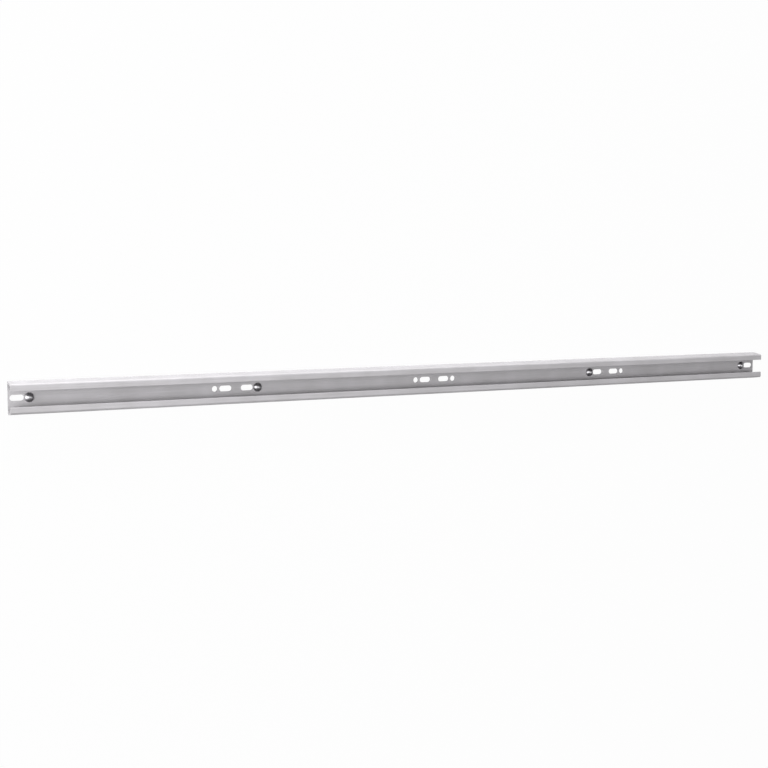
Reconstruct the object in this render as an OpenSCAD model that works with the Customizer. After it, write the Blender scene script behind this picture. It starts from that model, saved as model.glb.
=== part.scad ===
// Cable support rail: one length of C-shaped channel, folded from flat strip, with four domed
// rivets in its web. It lies on its web with the mouth up. The length runs along X, and the origin
// is at the middle of the web's back face.

/* [Section] */
// Overall width across the back of the channel
back_w = 35; // [30:0.5:50]
// Width across the front of the channel, where the flanges would meet the lips in sharp corners
front_w = 31; // [26:0.5:34]
// Overall depth, from the back of the web to the front of the lips
depth = 18; // [14:0.5:30]
// Clear width of the mouth between the two lips
mouth_w = 16.5; // [10:0.5:18]
// Thickness of the strip
wall = 2; // [1:0.1:2.5]
// Inner radius of every fold
fold_r = 0.4; // [0.2:0.1:1]

/* [Fields and hole groups] */
// Width of one field of the frame behind: the rail spans four, with a hole group at each border
field_w = 250; // [225:1:300]
// How far the rail stops short of its outer field borders, at each end
end_gap = 3.5; // [1:0.5:5]
// Distance from a field border to each slot beside it
slot_offset = 12.5; // [10:0.5:14]
// Distance from a field border to each round hole beside it
hole_offset = 25; // [24:0.5:40]

/* [Holes] */
// Length of a slot, from end to end
slot_l = 14.5; // [10:0.5:16]
// Width of a slot
slot_w = 6.5; // [4:0.1:8]
// Diameter of a round hole
hole_d = 6.5; // [4:0.1:8]

/* [Rivets] */
// Diameter of a rivet's domed head
head_d = 10.5; // [9:0.1:11.5]
// Height of the head at its middle
head_h = 3.6; // [2.5:0.1:4.5]
// Room between a rivet's shank and its hole, all round
shank_gap = 0.05; // [0.02:0.01:0.2]
// How far a rivet's tail stops short of the web's back face
tail_gap = 0.2; // [0.1:0.1:1]

/* [Hidden] */
$fn = 64;
// How far a cutting tool runs past the face that it cuts
clear = 1;

// Length of the rail
rail_l = 4 * field_w - 2 * end_gap;

// Lean of each flange towards the middle: its outer face touches the round of the back fold
// and runs to the front corner, which lies this far across and up from the fold's centre
outer_r = fold_r + wall;
corner_across = (back_w - front_w) / 2 - outer_r;
corner_up = depth - outer_r;
lean = atan2(corner_across, corner_up) + asin(outer_r / norm([corner_across, corner_up]));

// Angles that the strip turns through, and the room that the folds take at the corners
back_fold = 90 + lean;
front_fold = 90 - lean;
back_tangent = outer_r * tan(back_fold / 2);
front_tangent = outer_r * tan(front_fold / 2);

// Straight runs of the strip between the folds, measured on the outer face
web_half = back_w / 2 - outer_r;
flange_run = depth / cos(lean) - back_tangent - front_tangent;
lip_run = (front_w - mouth_w) / 2 - front_tangent;

// Hole places along the rail, for the half on the +X side
slot_places = [
    slot_offset,
    field_w - slot_offset,
    field_w + slot_offset,
    2 * field_w - slot_offset
];
inner_rivet_place = field_w - hole_offset;
end_rivet_place = 2 * field_w - hole_offset;
hole_places = [
    hole_offset,
    inner_rivet_place,
    field_w + hole_offset,
    end_rivet_place
];

// Radius of the sphere that a rivet's head is cut from
dome_r = (head_d * head_d / 4 + head_h * head_h) / (2 * head_h);

// A straight run of strip along +X, outer face on the X axis. What follows starts at its far end.
module run(length) {
    square([length, wall]);
    translate([length, 0]) children();
}

// A fold to the left about the strip's inner face. What follows starts at its far end.
module fold(angle) {
    translate([0, outer_r]) {
        difference() {
            circle(outer_r);
            circle(fold_r);
            rotate(angle) fold_waste();
            rotate(180) fold_waste();
        }
        rotate(angle) translate([0, -outer_r]) children();
    }
}

// The half of the fold's ring that lies ahead of it
module fold_waste() {
    translate([0, -2 * outer_r]) square([2 * outer_r, 4 * outer_r]);
}

// One half of the section, from the middle of the web round to the edge of the lip
module half_section() {
    run(web_half) fold(back_fold) run(flange_run) fold(front_fold) run(lip_run);
}

module section() {
    half_section();
    mirror([1, 0]) half_section();
}

// Puts a hole tool at each of the given places on both halves of the web
module at_places(places) {
    for (x = places, side = [-1, 1]) {
        translate([side * x, 0, 0]) children();
    }
}

module slot_tool() {
    reach = (slot_l - slot_w) / 2;
    for (side = [-1, 1]) {
        translate([side * reach, 0, -clear]) cylinder(d = slot_w, h = wall + 2 * clear);
    }
    translate([-reach, -slot_w / 2, -clear]) cube([2 * reach, slot_w, wall + 2 * clear]);
}

module hole_tool() {
    translate([0, 0, -clear]) cylinder(d = hole_d, h = wall + 2 * clear);
}

module rail() {
    color("silver")
    difference() {
        rotate([90, 0, 90]) linear_extrude(rail_l, center = true) section();
        at_places(slot_places) slot_tool();
        at_places(hole_places) hole_tool();
    }
}

// A rivet turned about its own axis: a shank that fills the hole, under a domed head on the web
module rivet(place) {
    color("dimgray")
    translate([place, 0, 0]) rotate_extrude() {
        translate([0, tail_gap]) square([hole_d / 2 - shank_gap, wall - tail_gap]);
        translate([0, wall]) intersection() {
            translate([0, head_h - dome_r]) circle(dome_r);
            square([head_d, 2 * head_h]);
        }
    }
}

rail();
rivet(-end_rivet_place);  // rivet_left_end
rivet(-inner_rivet_place);  // rivet_left
rivet(inner_rivet_place);  // rivet_right
rivet(end_rivet_place);  // rivet_right_end
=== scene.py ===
import math

import bmesh
import bpy
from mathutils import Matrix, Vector


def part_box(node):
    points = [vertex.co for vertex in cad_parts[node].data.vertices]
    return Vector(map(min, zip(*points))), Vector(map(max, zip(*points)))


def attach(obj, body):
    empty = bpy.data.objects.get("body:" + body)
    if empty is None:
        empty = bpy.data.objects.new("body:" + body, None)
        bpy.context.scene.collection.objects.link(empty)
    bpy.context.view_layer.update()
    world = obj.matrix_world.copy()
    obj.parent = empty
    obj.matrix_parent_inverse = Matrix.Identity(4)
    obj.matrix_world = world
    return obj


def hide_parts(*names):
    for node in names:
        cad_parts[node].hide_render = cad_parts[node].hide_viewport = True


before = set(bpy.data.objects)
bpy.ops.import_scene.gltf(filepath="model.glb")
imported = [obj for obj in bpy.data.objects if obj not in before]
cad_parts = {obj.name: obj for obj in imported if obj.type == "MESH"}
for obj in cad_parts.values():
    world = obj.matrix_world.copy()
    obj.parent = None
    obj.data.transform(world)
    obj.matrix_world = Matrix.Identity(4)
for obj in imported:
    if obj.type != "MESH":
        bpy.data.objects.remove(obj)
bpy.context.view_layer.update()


# The rail: one length of 2 mm steel strip, folded into a channel whose flanges lean inwards and whose
# lips leave a mouth along the front. The strip's edges are rolled smooth, and the ends are sawn and
# deburred. It is zinc-plated all over after the web has been punched.
MM = 0.001
rail_low, rail_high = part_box("rail")
rail_l = rail_high.x - rail_low.x
back_w = rail_high.y - rail_low.y
depth = rail_high.z - rail_low.z
front_w = 31 * MM
mouth_w = 16.5 * MM
wall = 2 * MM
fold_r = 0.4 * MM
fold_steps = 10
edge_r = 0.2 * MM
edge_steps = 4
deburr_r = 0.15 * MM
deburr_steps = 3

# The flange's outer face touches the round of the back fold and runs to the front corner, which lies this
# far across and up from the fold's centre. The straight runs between the folds are on the outer face.
outer_r = fold_r + wall
corner_across = (back_w - front_w) / 2 - outer_r
corner_up = depth - outer_r
lean = math.atan2(corner_across, corner_up) + math.asin(outer_r / math.hypot(corner_across, corner_up))
back_fold = math.pi / 2 + lean
front_fold = math.pi / 2 - lean
back_tangent = outer_r * math.tan(back_fold / 2)
front_tangent = outer_r * math.tan(front_fold / 2)
web_half = back_w / 2 - outer_r
flange_run = depth / math.cos(lean) - back_tangent - front_tangent
lip_run = (front_w - mouth_w) / 2 - front_tangent


def ahead(angle):
    """Unit step along the strip, in the plane across the rail."""
    return Vector((math.cos(angle), math.sin(angle)))


def inward(angle):
    """Unit step from the strip's outer face to its inner face."""
    return Vector((-math.sin(angle), math.cos(angle)))


def half_outline(inset):
    """The strip's section on the +Y side, from the web's outer face round the lip's edge to its inner face,
    with every face drawn in by inset."""
    outer, inner = [], []
    point, angle = Vector((0, 0)), 0
    for run, turn in ((web_half, back_fold), (flange_run, front_fold)):
        centre = point + run * ahead(angle) + outer_r * inward(angle)
        for step in range(fold_steps + 1):
            side = inward(angle + turn * step / fold_steps)
            outer.append(centre - (outer_r - inset) * side)
            inner.append(centre - (fold_r + inset) * side)
        angle += turn
        point = centre - outer_r * inward(angle)
    edge = []
    for height, quarter in ((edge_r, -math.pi / 2), (wall - edge_r, 0)):
        centre = point + (lip_run - edge_r) * ahead(angle) + height * inward(angle)
        for step in range(edge_steps + 1):
            turn = quarter + math.pi / 2 * step / edge_steps
            edge.append(centre + (edge_r - inset) * ahead(angle + turn))
    return outer + edge + inner[::-1]


def section_outline(inset):
    """The whole section: the half on the +Y side and its mirror image."""
    half = half_outline(inset)
    return half + [Vector((-y, z)) for y, z in reversed(half)]


def loft(rings):
    """A closed mesh through rings of as many points each. An end ring of one point is a tip, and any other
    end gets a flat face."""
    mesh = bmesh.new()
    sides = len(rings[1])
    loops = []
    for ring in rings:
        verts = [mesh.verts.new(point) for point in ring]
        loops.append(verts if len(verts) == sides else verts * sides)
    for near, far in zip(loops, loops[1:]):
        for i in range(sides):
            # Beside a tip two of the four corners are the same, which leaves a triangle.
            corners = dict.fromkeys((near[i - 1], near[i], far[i], far[i - 1]))
            mesh.faces.new(list(corners))
    for end in (0, -1):
        if len(rings[end]) == sides:
            mesh.faces.new(loops[end])
    bmesh.ops.recalc_face_normals(mesh, faces=mesh.faces)
    return mesh


def as_object(name, mesh):
    """Turns a finished mesh into an object of the scene, at the origin."""
    data = bpy.data.meshes.new(name)
    mesh.to_mesh(data)
    mesh.free()
    piece = bpy.data.objects.new(name, data)
    bpy.context.scene.collection.objects.link(piece)
    return piece


end_rings = []
for step in range(deburr_steps + 1):
    turn = math.pi / 2 * step / deburr_steps
    end_rings.append((rail_l / 2 - deburr_r * (1 - math.cos(turn)), deburr_r * (1 - math.sin(turn))))
stations = [(-x, inset) for x, inset in end_rings] + end_rings[::-1]
rail = as_object(
    "zinc_rail",
    loft([[(x, y, z) for y, z in section_outline(inset)] for x, inset in stations]),
)

# Each punch rounds the hole's edge where it enters the web's front, and the back is deburred. The punch
# for a round hole keeps a trace of the slot's straight run, so that no two points of a ring meet.
border_count = 5
field_w = 250 * MM
slot_offset = 12.5 * MM
hole_offset = 25 * MM
slot_l = 14.5 * MM
hole_w = 6.5 * MM
round_run = 0.01 * MM
entry_r = 0.35 * MM
entry_turns = [math.radians(angle) for angle in (0, 25, 50, 75)]
back_break = 0.12 * MM
punch_reach = 0.4 * MM
punch_steps = 20


def punch(name, length):
    """A punch with round ends, standing on Z through the web. Its sides widen at both faces of the web."""
    half_run = (length - hole_w) / 2
    sides = [(-punch_reach, back_break + punch_reach), (back_break, 0)]
    for turn in entry_turns:
        sides.append((wall - entry_r * (1 - math.sin(turn)), entry_r * (1 - math.cos(turn))))
    (low, near), (high, far) = sides[-2:]
    sides.append((wall + punch_reach, far + (far - near) / (high - low) * (wall + punch_reach - high)))
    rings = []
    for z, growth in sides:
        ring = []
        for step in range(2 * punch_steps):
            half, part = divmod(step, punch_steps)
            turn = math.pi * (half + part / (punch_steps - 1) - 0.5)
            x = (half_run if half == 0 else -half_run) + (hole_w / 2 + growth) * math.cos(turn)
            ring.append((x, (hole_w / 2 + growth) * math.sin(turn), z))
        rings.append(ring)
    return as_object(name, loft(rings))


slot_punch = punch("slot_punch", slot_l)
hole_punch = punch("hole_punch", hole_w + round_run)


def add(tree, kind, inputs=None, **settings):
    """Adds a node to the tree with its settings. An input is a value, an output to link from, or a list of
    outputs."""
    made = tree.nodes.new(kind)
    for name, value in settings.items():
        setattr(made, name, value)
    for name, value in (inputs or {}).items():
        for one in value if isinstance(value, list) else [value]:
            if isinstance(one, bpy.types.NodeSocket):
                tree.links.new(one, made.inputs[name])
            else:
                made.inputs[name].default_value = one
    return made


def linear(hex_colour):
    """An sRGB hex colour as linear RGBA."""
    parts = [int(hex_colour[i:i + 2], 16) / 255 for i in (1, 3, 5)]
    return (*(c / 12.92 if c <= 0.04045 else ((c + 0.055) / 1.055) ** 2.4 for c in parts), 1)


# Zinc plating, matt bright: a thin even coat that follows the rolled strip under it, so the eye sees a
# neutral grey metal with soft streaks along the rail and faint cloudy patches. The streaks and the grain are
# drawn coarser than the real ones, which are under a tenth of a millimetre wide, so that they show.
zinc_dark = linear("#adabad")
zinc_light = linear("#bcbabd")
streak_l = 60 * MM
streak_w = 1.6 * MM
cloud_w = 30 * MM
grain_w = 0.5 * MM
zinc_relief = 0.02 * MM
zinc = bpy.data.materials.new("zinc_plated_steel_matt")
zinc.use_nodes = True
tree = zinc.node_tree
shader = tree.nodes["Principled BSDF"]
shader.inputs["Metallic"].default_value = 0.2
shader.inputs["Specular IOR Level"].default_value = 0.3
places = add(tree, "ShaderNodeTexCoord").outputs["Object"]
stretch = (1 / streak_l, 1 / streak_w, 1 / streak_w)
along = add(tree, "ShaderNodeMapping", {"Vector": places, "Scale": stretch}).outputs[0]
streaks = add(tree, "ShaderNodeTexNoise", {"Vector": along, "Scale": 1, "Detail": 3}).outputs[0]
clouds = add(tree, "ShaderNodeTexNoise", {"Vector": places, "Scale": 1 / cloud_w, "Detail": 2}).outputs[0]
grain = add(tree, "ShaderNodeTexNoise", {"Vector": places, "Scale": 1 / grain_w, "Detail": 2}).outputs[0]
both = add(tree, "ShaderNodeMath", {0: streaks, 1: clouds}, operation="ADD").outputs[0]
patchy = add(tree, "ShaderNodeMapRange", {"Value": both, "From Min": 0.7, "From Max": 1.3}).outputs[0]
tint = add(tree, "ShaderNodeMix", {0: patchy, 6: zinc_dark, 7: zinc_light}, data_type="RGBA")
tree.links.new(tint.outputs[2], shader.inputs["Base Color"])
uneven = {"Value": streaks, "From Min": 0.3, "From Max": 0.7, "To Min": 0.55, "To Max": 0.68}
rough = add(tree, "ShaderNodeMapRange", uneven)
tree.links.new(rough.outputs[0], shader.inputs["Roughness"])
height = add(tree, "ShaderNodeMath", {0: streaks, 1: grain}, operation="ADD").outputs[0]
bump = add(tree, "ShaderNodeBump", {"Height": height, "Strength": 0.15, "Distance": zinc_relief})
tree.links.new(bump.outputs[0], shader.inputs["Normal"])


def node_group(name, result, kinds):
    """A geometry node group with the named inputs, each of its kind, and the inputs' identifiers by name."""
    group = bpy.data.node_groups.new(name, "GeometryNodeTree")
    group.interface.new_socket(result, in_out="OUTPUT", socket_type="NodeSocketGeometry")
    sockets = {}
    for label, kind in kinds.items():
        socket = group.interface.new_socket(label, in_out="INPUT", socket_type="NodeSocket" + kind)
        sockets[label] = socket.identifier
    return group, sockets


# The punching follows one rule: at each border between two fields there are two slots, one on either side,
# and two round holes beyond them. The row of borders is centred on the rail, and at the rail's ends the
# outer slots and holes miss it.
rule, sockets = node_group("web_punching", "Rail", {
    "Strip": "Geometry", "Slot punch": "Object", "Hole punch": "Object", "Borders": "Int",
    "Field width": "Float", "Slot offset": "Float", "Hole offset": "Float", "Finish": "Material",
})
given = add(rule, "NodeGroupInput").outputs
pitch = add(rule, "ShaderNodeCombineXYZ", {"X": given["Field width"]}).outputs[0]
halfway = {0: given["Borders"], 1: -0.5, 2: 0.5}
back = add(rule, "ShaderNodeMath", halfway, operation="MULTIPLY_ADD").outputs[0]
first = add(rule, "ShaderNodeVectorMath", {0: pitch, "Scale": back}, operation="SCALE").outputs[0]
row = {"Count": given["Borders"], "Start Location": first, "Offset": pitch}
borders = add(rule, "GeometryNodeMeshLine", row).outputs[0]
punches = []
for tool, offset in (("Slot punch", "Slot offset"), ("Hole punch", "Hole offset")):
    shape = add(rule, "GeometryNodeObjectInfo", {"Object": given[tool]}).outputs["Geometry"]
    for side in (-1, 1):
        reach = add(rule, "ShaderNodeMath", {0: given[offset], 1: float(side)}, operation="MULTIPLY")
        shift = add(rule, "ShaderNodeCombineXYZ", {"X": reach.outputs[0]}).outputs[0]
        spots = add(rule, "GeometryNodeSetPosition", {"Geometry": borders, "Offset": shift}).outputs[0]
        placed = add(rule, "GeometryNodeInstanceOnPoints", {"Points": spots, "Instance": shape})
        punches.append(placed.outputs[0])
tools = add(rule, "GeometryNodeJoinGeometry", {0: punches}).outputs[0]
tools = add(rule, "GeometryNodeRealizeInstances", {0: tools}).outputs[0]
cut = {"Mesh 1": given["Strip"], "Mesh 2": tools}
punched = add(rule, "GeometryNodeMeshBoolean", cut, operation="DIFFERENCE", solver="EXACT").outputs["Mesh"]
whole = add(rule, "GeometryNodeRealizeInstances", {0: punched}).outputs[0]
plated = add(rule, "GeometryNodeSetMaterial", {"Geometry": whole, "Material": given["Finish"]}).outputs[0]
add(rule, "NodeGroupOutput", {"Rail": plated})


def settle(piece, group, sockets, values):
    """Runs a node group on a piece with the given inputs and keeps the result as its plain mesh."""
    modifier = piece.modifiers.new(group.name, "NODES")
    modifier.node_group = group
    for name, value in values.items():
        modifier[sockets[name]] = value
    shown = piece.evaluated_get(bpy.context.evaluated_depsgraph_get())
    made = bpy.data.meshes.new_from_object(shown)
    piece.modifiers.remove(modifier)
    piece.data = made


settle(rail, rule, sockets, {
    "Slot punch": slot_punch, "Hole punch": hole_punch, "Borders": border_count, "Field width": field_w,
    "Slot offset": slot_offset, "Hole offset": hole_offset, "Finish": zinc,
})
for used in (slot_punch, hole_punch):
    bpy.data.objects.remove(used)
sharp_from = math.radians(35)
rail.data.shade_smooth()
rail.data.set_sharp_from_angle(angle=sharp_from)
even = rail.modifiers.new("flat_faces_stay_flat", "WEIGHTED_NORMAL")
even.keep_sharp = True
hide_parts("rail")
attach(rail, "root")


# The rivets: four round-headed rivets in the web's round holes, cold-headed from steel wire and blackened.
# The domed head sits on the web, and the tail ends just inside its back face.
rivet_names = ["rivet_left_end", "rivet_left", "rivet_right", "rivet_right_end"]
rivets_each_half = 2
rivet_low, rivet_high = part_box("rivet_left")
head_r = (rivet_high.x - rivet_low.x) / 2
head_h = rivet_high.z - wall
tail_z = rivet_low.z
shank_gap = 0.05 * MM
shank_r = hole_w / 2 - shank_gap
tail_break = 0.3 * MM
dome_r = (head_r ** 2 + head_h ** 2) / (2 * head_h)
dome_half = math.asin(head_r / dome_r)
dome_steps = 16
round_steps = 48

profile = [(0, tail_z), (shank_r - tail_break, tail_z), (shank_r, tail_z + tail_break), (shank_r, wall)]
for step in range(dome_steps + 1):
    turn = dome_half * (1 - step / dome_steps)
    profile.append((dome_r * math.sin(turn), wall + head_h - dome_r * (1 - math.cos(turn))))
turns = [2 * math.pi * step / round_steps for step in range(round_steps)]
rings = []
for radius, z in profile:
    around = turns if radius > 0 else turns[:1]
    rings.append([(radius * math.cos(turn), radius * math.sin(turn), z) for turn in around])
rivets = as_object("black_rivets", loft(rings))

# Blackened steel, burnished: a thin dark oxide through which the smooth metal still shines, so the eye
# sees a dark mirror with clear bright patches where it shows a lamp. The bloom and the skin of the oxide
# are drawn coarser than the real ones, so that they show.
oxide_dark = linear("#a6a5a8")
oxide_light = linear("#b2b1b3")
bloom_w = 2 * MM
skin_w = 0.3 * MM
oxide_relief = 0.01 * MM
oxide = bpy.data.materials.new("blackened_steel_burnished")
oxide.use_nodes = True
tree = oxide.node_tree
shader = tree.nodes["Principled BSDF"]
shader.inputs["Metallic"].default_value = 1
places = add(tree, "ShaderNodeTexCoord").outputs["Object"]
bloom = add(tree, "ShaderNodeTexNoise", {"Vector": places, "Scale": 1 / bloom_w, "Detail": 3}).outputs[0]
tint = add(tree, "ShaderNodeMix", {0: bloom, 6: oxide_dark, 7: oxide_light}, data_type="RGBA")
tree.links.new(tint.outputs[2], shader.inputs["Base Color"])
uneven = {"Value": bloom, "From Min": 0.3, "From Max": 0.7, "To Min": 0.3, "To Max": 0.37}
rough = add(tree, "ShaderNodeMapRange", uneven)
tree.links.new(rough.outputs[0], shader.inputs["Roughness"])
skin = add(tree, "ShaderNodeTexNoise", {"Vector": places, "Scale": 1 / skin_w, "Detail": 2}).outputs[0]
bump = add(tree, "ShaderNodeBump", {"Height": skin, "Strength": 0.1, "Distance": oxide_relief})
tree.links.new(bump.outputs[0], shader.inputs["Normal"])

# One rivet stands in each hole that has one: two holes on either half of the rail, a field apart.
setting, sockets = node_group("rivet_setting", "Rivets", {
    "Rivet": "Geometry", "Each half": "Int", "First": "Float", "Pitch": "Float", "Finish": "Material",
})
given = add(setting, "NodeGroupInput").outputs
rows = []
for side in (-1, 1):
    ends = []
    for name in ("First", "Pitch"):
        reach = add(setting, "ShaderNodeMath", {0: given[name], 1: float(side)}, operation="MULTIPLY")
        ends.append(add(setting, "ShaderNodeCombineXYZ", {"X": reach.outputs[0]}).outputs[0])
    row = {"Count": given["Each half"], "Start Location": ends[0], "Offset": ends[1]}
    rows.append(add(setting, "GeometryNodeMeshLine", row).outputs[0])
spots = add(setting, "GeometryNodeJoinGeometry", {0: rows}).outputs[0]
placed = add(setting, "GeometryNodeInstanceOnPoints", {"Points": spots, "Instance": given["Rivet"]})
whole = add(setting, "GeometryNodeRealizeInstances", {0: placed.outputs[0]}).outputs[0]
blackened = add(setting, "GeometryNodeSetMaterial", {"Geometry": whole, "Material": given["Finish"]})
add(setting, "NodeGroupOutput", {"Rivets": blackened.outputs[0]})
settle(rivets, setting, sockets, {
    "Each half": rivets_each_half, "First": field_w - hole_offset, "Pitch": field_w, "Finish": oxide,
})
rivets.data.shade_smooth()
rivets.data.set_sharp_from_angle(angle=sharp_from)
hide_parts(*rivet_names)
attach(rivets, "root")


# The floor: a plain studio floor of white paper that the rail lies on, with a wall of the same paper far
# round it. The camera and mirrors see it as white, apart from the small share that keeps the shadow, and to
# other light it is a pale grey.
floor_r = 15
floor_drop = 0.1 * MM
backdrop_h = 5
backdrop_sides = 96
white_share = 0.97
paper_white = linear("#ffffff")
paper_grey = linear("#c0c0c0")
mesh = bmesh.new()
bmesh.ops.create_circle(mesh, cap_ends=True, radius=floor_r, segments=backdrop_sides)
bmesh.ops.translate(mesh, verts=mesh.verts, vec=(0, 0, -floor_drop))
rim = bmesh.ops.extrude_edge_only(mesh, edges=mesh.edges)["geom"]
top = [part for part in rim if isinstance(part, bmesh.types.BMVert)]
bmesh.ops.translate(mesh, verts=top, vec=(0, 0, backdrop_h))
floor = as_object("floor", mesh)
paper = bpy.data.materials.new("white_paper_floor")
paper.use_nodes = True
tree = paper.node_tree
tree.nodes.clear()
ray = add(tree, "ShaderNodeLightPath").outputs
seen = ray["Is Camera Ray"]
for other in ("Is Glossy Ray", "Is Transmission Ray"):
    seen = add(tree, "ShaderNodeMath", {0: seen, 1: ray[other]}, operation="MAXIMUM").outputs[0]
share = add(tree, "ShaderNodeMath", {0: seen, 1: white_share}, operation="MULTIPLY").outputs[0]
matt = add(tree, "ShaderNodeBsdfDiffuse", {"Color": paper_grey}).outputs[0]
glow = add(tree, "ShaderNodeEmission", {"Color": paper_white, "Strength": 1.0}).outputs[0]
mixed = add(tree, "ShaderNodeMixShader", {0: share, 1: matt, 2: glow}).outputs[0]
add(tree, "ShaderNodeOutputMaterial", {"Surface": mixed})
floor.data.materials.append(paper)


# The light: a dim room, a broad lamp low beyond the rail, a tall softbox past its left end that reaches down
# almost to the floor, and a long softbox high above it, narrow across the rail.
scene = bpy.context.scene
scene.view_settings.view_transform = "Standard"
world = bpy.data.worlds.new("dim_room")
scene.world = world
world.use_nodes = True
room = world.node_tree.nodes["Background"]
room.inputs["Color"].default_value = linear("#ffffff")
room.inputs["Strength"].default_value = 0.06


def lamp(name, place, size, power):
    """A rectangular lamp that faces the middle of the rail, with its width and height in metres."""
    light = bpy.data.lights.new(name, "AREA")
    light.shape = "RECTANGLE"
    light.size, light.size_y = size
    light.energy = power
    holder = bpy.data.objects.new(name, light)
    holder.location = place
    holder.rotation_euler = (-Vector(place)).to_track_quat("-Z", "Y").to_euler()
    scene.collection.objects.link(holder)


lamp("lamp_beyond", place=(-0.6, 2.2, 0.45), size=(2.6, 0.9), power=82)
lamp("softbox_left", place=(-1.65, 0.05, 1.1), size=(1.6, 2.2), power=42)
lamp("softbox_above", place=(0.6, -0.1, 3.0), size=(1.2, 4.0), power=41)


# The camera looks down on the rail from its left end, with the rail across the picture.
camera_data = bpy.data.cameras.new("camera")
camera_data.sensor_width = 36
camera_data.lens = 58.15
camera = bpy.data.objects.new("camera", camera_data)
camera.location = (-0.7039, 0.1342, 1.3081)
camera.rotation_euler = (math.radians(-5.398), math.radians(-25.985), 0)
scene.collection.objects.link(camera)
scene.camera = camera
